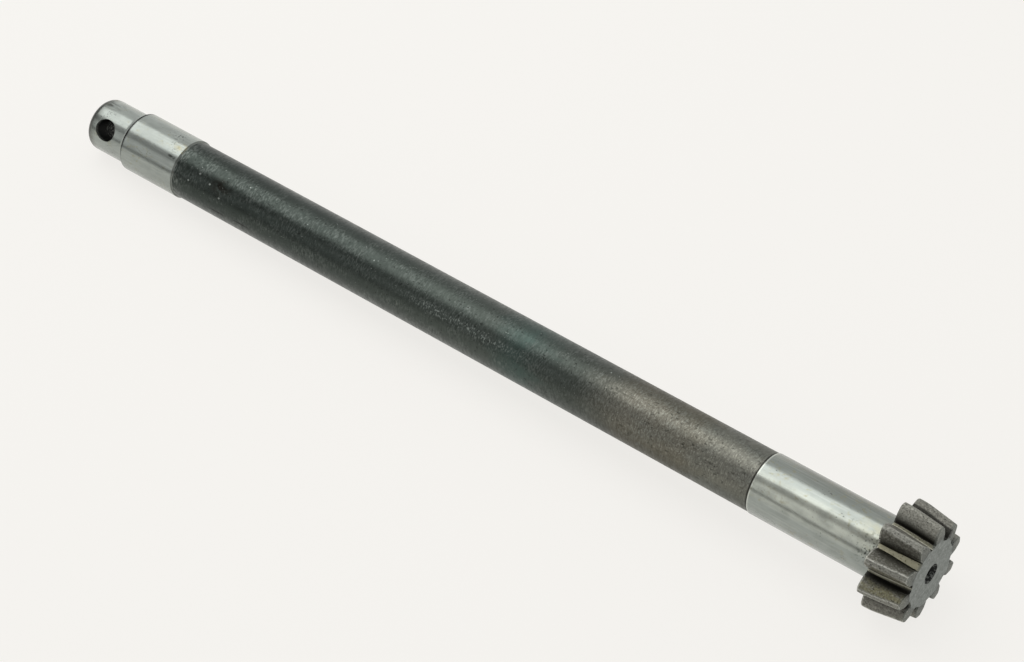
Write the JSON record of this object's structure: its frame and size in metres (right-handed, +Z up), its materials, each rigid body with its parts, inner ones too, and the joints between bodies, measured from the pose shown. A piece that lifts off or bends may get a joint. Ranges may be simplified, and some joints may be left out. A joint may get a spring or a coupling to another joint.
{
  "type": "splined shaft",
  "caption": "One-piece steel drive shaft with a crowned toothed head, two ground journals, a long plain bar and a cross-drilled spigot.",
  "frame": {"origin": "bottom centre of the box of the shaft as it lies at rest", "axes": "+X along the shaft towards the toothed head, +Z up; the shaft lies on two teeth and the rear journal, so its axis rises 1.26 degrees towards the head"},
  "size_m": [0.5756, 0.0612, 0.0589],
  "materials": {
    "shaft_steel": "ground bright on the journals and spigot, black heat scale on the bar, worn grey oxide on the teeth"
  },
  "bodies": {
    "root": {"splined_shaft": "shaft_steel"}
  },
  "joints": []
}
